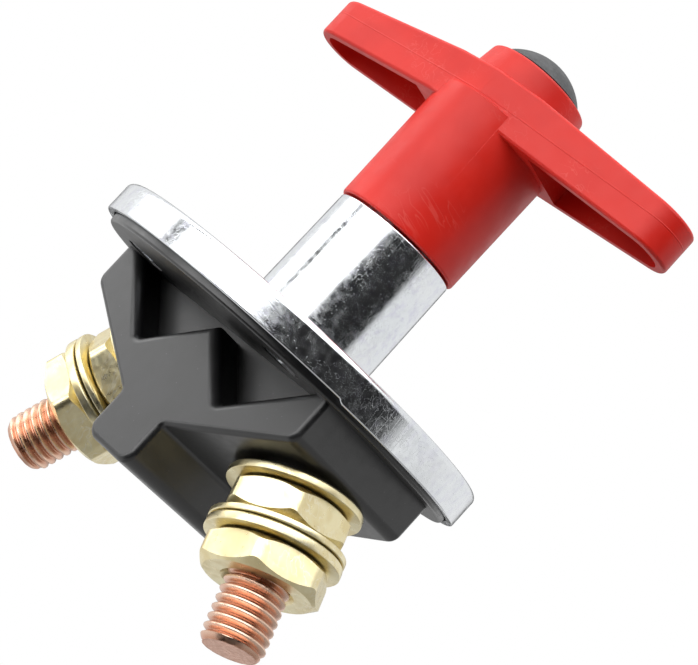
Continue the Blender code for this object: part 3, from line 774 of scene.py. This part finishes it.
def notch_outline(x, grow):
    """The vee of a notch, grown outward on all sides."""
    spread = NOTCH_HALF_WIDTH / (DISC_BOTTOM - NOTCH_APEX_Z)
    apex = NOTCH_APEX_Z - grow / math.sin(math.atan(spread))
    reach = spread * (NOTCH_TOP - apex)
    return rounded([(x, apex, NOTCH_ROUND + grow), (x + reach, NOTCH_TOP, 0), (x - reach, NOTCH_TOP, 0)])


def make_housing():
    """The black moulding: outside from block, bosses, notches and disc, then the CAD's own cavities."""
    wide, keel, depth = BLOCK_HALF_WIDTH, KEEL_HALF_WIDTH, BLOCK_HALF_DEPTH
    half = [
        (wide, -4.5, 0), (wide, SHOULDER_Z, SHOULDER_ROUND),
        (keel, seat_line(keel), KEEL_ROOT_ROUND), (keel, KEEL_BOTTOM, KEEL_ROUND),
    ]
    outline = rounded(half + [(-x, z, radius) for x, z, radius in reversed(half)], 8)
    body = plate("detailed_housing", outline, -depth, depth, upright=True, finish="black_plastic")
    round_edges(body, EDGE_ROUND, 8, 50)
    bosses = []
    for side in (1, -1):
        boss = turned("seat boss", [
            (0, 3), (SEAT_BOSS_RADIUS, 3), (SEAT_BOSS_RADIUS, -SEAT_BOSS_HEIGHT + 0.25),
            (SEAT_BOSS_RADIUS - 0.25, -SEAT_BOSS_HEIGHT), (0, -SEAT_BOSS_HEIGHT)])
        bosses.append(moved(boss, stud_frame(side)))
    combine(body, bosses, "UNION")
    notches = []
    for x in (NOTCH_X, -NOTCH_X):
        for face in (1, -1):
            stations = [(NOTCH_FLOOR_Y, 0.0), (NOTCH_FLOOR_Y + 1.0, 0.0)]
            for step in range(7):
                turn = math.radians(15 * step)
                flare = NOTCH_LIP * (1 - math.cos(turn))
                stations.append((depth - NOTCH_LIP + NOTCH_LIP * math.sin(turn), flare))
            stations.append((depth + 2, NOTCH_LIP))
            rings = [[(px, face * y, pz) for px, pz in notch_outline(x, grow)] for y, grow in stations]
            notches.append(loft("notch", rings))
    combine(body, notches)
    disc = turned("disc", [
        (0, DISC_TOP), (DISC_RADIUS, DISC_TOP),
        *arc((DISC_RADIUS - 0.5, DISC_BOTTOM + 0.5), 0.5, 0, -90, 5), (0, DISC_BOTTOM)], steps=180)
    combine(body, [disc], "UNION")

    floor = []
    for reach in (SLOT_HALF_LENGTH, -SLOT_HALF_LENGTH):
        floor.append((
            STUD_X - SEAT_WALL * math.sin(STUD_TILT) + reach * math.cos(STUD_TILT),
            STUD_Z + SEAT_WALL * math.cos(STUD_TILT) + reach * math.sin(STUD_TILT),
        ))
    half = [(floor[0][0], CUT_TOP), floor[0], floor[1]]
    chamber = half + [(-x, z) for x, z in reversed(half)]
    tools = [plate("chamber", chamber, -SLOT_HALF_DEPTH, SLOT_HALF_DEPTH, upright=True)]
    tools.append(turned("well", [
        (0, CUT_TOP), (WELL_RADIUS, CUT_TOP), (WELL_RADIUS, WELL_FLOOR), (0, WELL_FLOOR)]))
    tools.append(turned("spring well", [
        (0, -10), (SPRING_WELL_RADIUS, -10), (SPRING_WELL_RADIUS, SPRING_WELL_FLOOR),
        (0, SPRING_WELL_FLOOR)], steps=48))
    for side in (1, -1):
        bore = turned("stud bore", [(0, 6), (CLEAR_HOLE, 6), (CLEAR_HOLE, -3), (0, -3)], steps=48)
        tools.append(moved(bore, stud_frame(side)))
    turns = [RECESS_HALF_ANGLE * (step / 8 - 1) for step in range(17)]
    recess = [(RECESS_OUTER * math.cos(turn), RECESS_OUTER * math.sin(turn)) for turn in turns]
    recess += [(RECESS_INNER * math.cos(turn), RECESS_INNER * math.sin(turn)) for turn in reversed(turns)]
    tools.append(plate("stop recess", recess, RECESS_FLOOR, CUT_TOP))
    for place in screw_places():
        hole = turned("screw hole", [
            (0, CUT_TOP), (1.9, CUT_TOP), (1.9, -4.9), (3.5, -6.5), (3.5, -7.5), (0, -7.5)], steps=32)
        tools.append(moved(hole, Matrix.Translation(mm(*place))))
    for side in (1, -1):
        pocket = turned("pocket", [(0, CUT_TOP), (2.7, CUT_TOP), (2.7, -5.2), (0, -5.2)], steps=32)
        tools.append(moved(pocket, Matrix.Translation(mm(0, side * PANEL_HOLE_OFFSET, 0))))
    tools.append(turned("groove", [
        (GROOVE_INNER, CUT_TOP), (GROOVE_OUTER, CUT_TOP), (GROOVE_OUTER, GROOVE_FLOOR),
        (GROOVE_INNER, GROOVE_FLOOR)], closed=True))
    combine(body, tools)
    return show(even_shading(body), "housing", "base")


def bar_outline(shrink=0.0, steps=20):
    """Plan of the handle's bar for +X: the round end, the half width at the middle and the sides' lean."""
    centre = BAR_HALF_LENGTH - BAR_END_RADIUS
    radius = BAR_END_RADIUS - shrink
    lean = math.asin((BAR_ROOT_HALF_WIDTH - BAR_END_RADIUS) / centre)
    turns = [math.pi / 2 - lean - (math.pi - 2 * lean) * step / steps for step in range(steps + 1)]
    tip = [(centre + radius * math.cos(turn), radius * math.sin(turn)) for turn in turns]
    return tip, BAR_ROOT_HALF_WIDTH / math.cos(lean) - shrink, lean


def make_handle():
    """The red tee: hub, tapering bar and boss in one, hollow under both wings and round the spigot."""
    at_rest = Matrix.Rotation(HANDLE_REST, 4, "Z")
    hub = turned("detailed_handle", [
        (0, BAR_TOP - 2), (HUB_TOP_RADIUS, BAR_BOTTOM + 3), (HUB_RADIUS, HUB_BOTTOM + 0.45),
        *arc((HUB_RADIUS - 0.45, HUB_BOTTOM + 0.45), 0.45, -15, -90, 5), (0, HUB_BOTTOM)],
        steps=128, finish="red_plastic")
    tip, root, _ = bar_outline()
    plan = [(0, root)] + tip + [(0, -root)] + [(-x, -y) for x, y in tip]
    bar = plate("bar", plan, BAR_END_BOTTOM - 1, BAR_TOP + 1)
    end, flat = BAR_HALF_LENGTH + 1, BAR_FLAT_HALF_LENGTH
    side = [(end, BAR_END_TOP), (flat, BAR_TOP), (-flat, BAR_TOP), (-end, BAR_END_TOP),
            (-end, BAR_END_BOTTOM), (-flat, BAR_BOTTOM), (flat, BAR_BOTTOM), (end, BAR_END_BOTTOM)]
    combine(bar, [plate("bar side", side, -14, 14, upright=True)], "INTERSECT")
    round_edges(bar, 0.6, 4, 50)
    moved(bar, at_rest)
    boss = turned("boss", [
        (0, BOSS_TOP), (BOSS_RADIUS - 0.5, BOSS_TOP),
        *arc((BOSS_RADIUS - 0.5, BOSS_TOP - 0.5), 0.5, 80, 5, 5),
        (BOSS_ROOT_RADIUS, BAR_TOP - 1), (0, BAR_TOP - 1)], steps=128)
    combine(hub, [bar, boss], "UNION")
    tip, root, lean = bar_outline(BAR_WALL)
    start = HUB_TOP_RADIUS + 1.2
    tools = []
    for way in (1, -1):
        near = root - start * math.tan(lean)
        plan = [(start, near), *tip, (start, -near)]
        plan = [(way * x, way * y) for x, y in plan]
        pocket = plate("wing pocket", plan, BAR_END_BOTTOM - 3, BAR_BOTTOM + POCKET_DEPTH)
        tools.append(moved(pocket, at_rest))
    socket = SPIGOT_RADIUS + SOCKET_GAP
    tools.append(turned("socket", [
        (0, SOCKET_TOP), (socket, SOCKET_TOP), (socket, HUB_BOTTOM + 0.5), (socket + 0.6, HUB_BOTTOM - 0.1),
        (socket + 0.6, HUB_BOTTOM - 2), (0, HUB_BOTTOM - 2)]))
    reach = math.acos(DRIVE_HALF_FLATS / DRIVE_RADIUS)
    half = [reach + (math.pi - 2 * reach) * step / 12 for step in range(13)]
    drive = [(DRIVE_RADIUS * math.cos(turn), DRIVE_RADIUS * math.sin(turn)) for turn in half]
    tools.append(plate("drive", drive + [(-x, -y) for x, y in drive], 30, DRIVE_TOP))
    tools.append(turned("screw hole", [(0, 50), (2.9, 50), (2.9, 38), (0, 38)], steps=32))
    tools.append(turned("screw well", [(0, 60), (5.6, 60), (5.6, SCREW_SEAT), (0, SCREW_SEAT)], steps=48))
    combine(hub, tools)
    return show(even_shading(hub), "handle", "rotor")


def make_cap():
    """The black cap: a shallow dome on a plug that sits in the screw's well."""
    base = BOSS_TOP + 0.3
    sphere = (CAP_RADIUS ** 2 + CAP_HEIGHT ** 2) / (2 * CAP_HEIGHT)
    reach = math.asin(CAP_RADIUS / sphere)
    turns = [reach * step / 24 for step in range(24)]
    top = base + CAP_HEIGHT
    dome = [(sphere * math.sin(turn), top - sphere * (1 - math.cos(turn))) for turn in turns]
    cap = turned("detailed_cap", [
        *dome, (CAP_RADIUS - 0.05, base + 0.2), (CAP_RADIUS - 0.2, base), (5.2, base), (5.2, base - 2.7),
        (4.9, base - 3), (0, base - 3)], steps=128, finish="black_cap")
    return show(cap, "handle_cap", "rotor")


# ---------------------------------------------------------------- studs, nuts and washers

def thread_radius(phase):
    """Radius of the thread over one pitch, phase 0 to 1: flat crest, straight flanks and a round root."""
    away = min(max((abs(phase - 0.5) * 2 - 0.08) / 0.76, 0.0), 1.0)
    flank = 0.6 * away + 0.4 * (0.5 - 0.5 * math.cos(math.pi * away))
    return THREAD_ROOT_RADIUS + (STUD_RADIUS - THREAD_ROOT_RADIUS) * flank


def make_stud(side, word):
    """A stud with a true helical thread, a tapered tip and a square head inside the housing."""
    columns, rows = 96, 14
    turns = int((STUD_END + SHANK_START) / THREAD_PITCH) + 2
    shape = bmesh.new()
    grid = []
    for column in range(columns + 1):
        turn = 2 * math.pi * column / columns
        line = [(STUD_RADIUS, HEAD_START + 0.5)]
        for row in range(turns * rows):
            along = row / rows + column / columns
            z = SHANK_START + THREAD_PITCH - THREAD_PITCH * along
            radius = thread_radius((row / rows) % 1.0)
            limit = STUD_TIP_RADIUS + (z + STUD_END) * STUD_TIP_TAPER
            if z >= SHANK_START:
                z, radius = SHANK_START, STUD_RADIUS
            elif z <= -STUD_END:
                z, radius = -STUD_END, STUD_TIP_RADIUS
            line.append((min(radius, max(limit, 4.0)), z))
        line += [(4.05, -STUD_END), (2.5, -STUD_END), (0.0, -STUD_END)]
        points = [(r * math.cos(turn), r * math.sin(turn), z) for r, z in [(0.0, HEAD_START + 0.5), *line]]
        grid.append([shape.verts.new(mm(*point)) for point in points])
    for before, after in zip(grid, grid[1:]):
        for row in range(len(before) - 1):
            shape.faces.new((before[row], before[row + 1], after[row + 1], after[row]))
    bmesh.ops.remove_doubles(shape, verts=shape.verts, dist=2e-6)
    bmesh.ops.dissolve_degenerate(shape, edges=shape.edges, dist=1e-7)
    stud = finished(f"threaded_stud_{word}", shape, "copper", 40)
    length, depth = HEAD_HALF_LENGTH, HEAD_HALF_DEPTH
    head = block("head", (-length, -depth, HEAD_START), (length, depth, HEAD_END))
    round_edges(head, 0.4, 2, 50)
    combine(stud, [head], "UNION")
    stud.matrix_world = stud_frame(side)
    return show(stud, f"stud_{word}", "base")


def hexagon_radius(turn):
    """Radius of a hexagon with softened corners, corners at multiples of 60 degrees."""
    off = abs((turn + math.pi / 6) % (math.pi / 3) - math.pi / 6)
    to_flat = NUT_ACROSS_FLATS / 2 / math.cos(math.pi / 6 - off)
    centre = (NUT_ACROSS_FLATS / 2 - NUT_CORNER_ROUND) / math.cos(math.pi / 6)
    side = centre * math.sin(off)
    to_corner = centre * math.cos(off) + math.sqrt(max(NUT_CORNER_ROUND ** 2 - side ** 2, 0.0))
    return min(to_flat, to_corner) if side < NUT_CORNER_ROUND * 0.5 else to_flat


def make_nut(name, side, start, turn):
    """A hexagon nut, chamfered at both faces so that arcs run round its corners."""
    columns, face, bore = 180, NUT_FACE_RADIUS, NUT_BORE
    low, high = -start - NUT_HEIGHT, -start
    shape = bmesh.new()
    grid = []
    for column in range(columns):
        angle = 2 * math.pi * column / columns
        outer = hexagon_radius(angle)
        drop = (outer - face) * NUT_CHAMFER_SLOPE
        rim = [(face + (outer - face) * step / 5, drop * step / 5) for step in range(6)]
        line = [(bore, -high + 1.1), (bore + 0.75, -high), (7.4, -high), *[(r, -high + d) for r, d in rim]]
        sides = [(outer, -high + drop + (NUT_HEIGHT - 2 * drop) * step / 5) for step in (1, 2, 3, 4)]
        line += sides + [(r, -low - d) for r, d in reversed(rim)]
        line += [(7.4, -low), (bore + 0.75, -low), (bore, -low - 1.1)]
        grid.append([
            shape.verts.new(mm(r * math.cos(angle + turn), r * math.sin(angle + turn), -z)) for r, z in line
        ])
    for index, before in enumerate(grid):
        after = grid[(index + 1) % columns]
        for row in range(len(before)):
            ahead = (row + 1) % len(before)
            shape.faces.new((before[row], before[ahead], after[ahead], after[row]))
    nut = finished(f"detailed_{name}", shape, "yellow_zinc", 28)
    nut.matrix_world = stud_frame(side)
    return show(nut, name, "base")


def make_washer(name, side, start, height, soft):
    """A flat washer, its edge rounded on the seat's side and almost sharp on the other, as punched."""
    outer = WASHER_RADIUS
    washer = turned(f"detailed_{name}", [
        (CLEAR_HOLE, -start - 0.15), (CLEAR_HOLE + 0.15, -start),
        *arc((outer - soft, -start - soft), soft, 90, 0, 6),
        *arc((outer - 0.12, 0.12 - start - height), 0.12, 0, -90, 3),
        (CLEAR_HOLE + 0.15, -start - height), (CLEAR_HOLE, -start - height + 0.15)],
        steps=160, closed=True, finish="yellow_zinc")
    washer.matrix_world = stud_frame(side)
    return show(washer, name, "base")


def make_spring_washer(name, side):
    """A split ring, one end sprung up and the other down."""
    start, height, opening = SPRING_WASHER_START, SPRING_WASHER_HEIGHT, SPRING_WASHER_OPENING
    middle = math.radians(-60 * side - 90)
    columns, rim = 150, 0.18
    section = [
        *arc((WASHER_RADIUS - rim, height / 2 - rim), rim, 90, 0, 3),
        *arc((WASHER_RADIUS - rim, rim - height / 2), rim, 0, -90, 3),
        *arc((CLEAR_HOLE + rim, rim - height / 2), rim, -90, -180, 3),
        *arc((CLEAR_HOLE + rim, height / 2 - rim), rim, 180, 90, 3),
    ]
    rings = []
    for column in range(columns + 1):
        share = column / columns
        ring = []
        for radius, z in section:
            angle = middle + opening / 2 + (2 * math.pi - opening) * share + 0.09 * z
            lift = SPRING_WASHER_LIFT * (share - 0.5) * 2
            ring.append((radius * math.cos(angle), radius * math.sin(angle), z + lift - start - height / 2))
        rings.append(ring)
    washer = loft(f"detailed_{name}", rings, "yellow_zinc")
    washer.matrix_world = stud_frame(side)
    return show(washer, name, "base")


# ---------------------------------------------------------------- small parts inside and below

def spring_rise(share):
    """Share of the spring's height reached after a share of its turns; the end turns lie flatter."""
    middle = min(max((share - 0.10) / 0.80, 0.0), 1.0)
    first = min(share / 0.10, 1.0)
    last = 0.05 * max(share - 0.90, 0.0) / 0.10
    return middle * 0.90 + 0.05 * first + last


def make_spring():
    """The return spring, closed at both ends."""
    radius, wire, bottom, top = SPRING_RADIUS, SPRING_WIRE, SPRING_BOTTOM, SPRING_TOP
    steps = 36
    rings = []
    for step in range(SPRING_TURNS * steps + 1):
        turn = 2 * math.pi * step / steps
        z = bottom + (top - bottom) * spring_rise(step / (SPRING_TURNS * steps))
        across = Vector((math.cos(turn), math.sin(turn), 0.0))
        ring = []
        for corner in range(12):
            angle = math.pi * corner / 6
            point = across * (radius + wire * math.cos(angle))
            ring.append((point.x, point.y, z + wire * math.sin(angle)))
        rings.append(ring)
    spring = loft("coiled_spring", rings, "steel")
    show(spring, "return_spring", "base")
    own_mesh(spring)


def make_screws():
    """Countersunk screws with a cross recess."""
    for index, place in enumerate(screw_places(), start=1):
        screw = turned(f"cross_screw_{index}", [
            (0, SCREW_TIP), (1.3, SCREW_TIP), (1.5, -1.1), (1.5, -5.2), (2.8, -6.37),
            *arc((2.78, -6.38), 0.12, 0, -90, 3), (0, SCREW_HEAD)], steps=48, finish="bright_zinc")
        cuts = []
        for quarter in (0, 1):
            wedge = loft("recess", [
                [(-half, -0.35, z), (half, -0.35, z), (half, 0.35, z), (-half, 0.35, z)]
                for half, z in ((1.75, -6.6), (0.7, -5.2))])
            cuts.append(moved(wedge, Matrix.Rotation(math.radians(90 * quarter + 25 * index), 4, "Z")))
        combine(screw, cuts)
        moved(screw, Matrix.Translation(mm(*place)))
        show(screw, f"housing_screw_{index}", "base")


def make_floor():
    """A pale floor far below, seen by the camera only, that fades into the white surroundings."""
    shape = bmesh.new()
    bmesh.ops.create_grid(shape, x_segments=8, y_segments=8, size=8.0)
    for vert in shape.verts:
        vert.co.z = FLOOR_LEVEL
    material = bpy.data.materials.new("floor")
    material.use_nodes = True
    tree = material.node_tree
    make = Nodes(tree)
    place = tree.nodes.new("ShaderNodeTexCoord").outputs["Object"]
    far = make.smooth(make.from_axis(place), 0.15, 0.7)
    pale = tree.nodes["Principled BSDF"]
    grain = make.add("ShaderNodeTexNoise", Vector=place, Scale=90.0, Detail=4.0)
    make.plug(pale, "Base Color", make.mix(grain.outputs["Fac"], (0.78, 0.78, 0.79), (0.84, 0.84, 0.84)))
    make.plug(pale, "Roughness", 0.8)
    white = make.add("ShaderNodeEmission", Color=(1, 1, 1, 1), Strength=1.0)
    tree.links.new(make.blend(far, pale, white), tree.nodes["Material Output"].inputs["Surface"])
    finishes["floor"] = material
    floor = finished("floor", shape, "floor")
    floor.visible_glossy = floor.visible_diffuse = floor.visible_shadow = floor.visible_transmission = False


# ---------------------------------------------------------------- the whole

make_flange()
make_housing()
make_handle()
make_cap()
make_spring()
make_screws()
for side, word in ((1, "right"), (-1, "left")):
    make_stud(side, word)
    make_washer(f"base_washer_{word}", side, **BASE_WASHER)
    make_nut(f"inner_nut_{word}", side, INNER_NUT_START, NUT_TURN[f"inner_nut_{word}"])
    make_spring_washer(f"spring_washer_{word}", side)
    make_washer(f"lug_washer_{word}", side, **LUG_WASHER)
    make_nut(f"outer_nut_{word}", side, OUTER_NUT_START, NUT_TURN[f"outer_nut_{word}"])

slots = {item["node"]: item["material_slot"] for item in frame["record"]["subparts"]}
for name, node in frame["nodes"].items():
    finish = "contact_copper" if name == "contact_bridge" else slots[name]
    node.data.materials.clear()
    node.data.materials.append(finishes[finish])
make_floor()
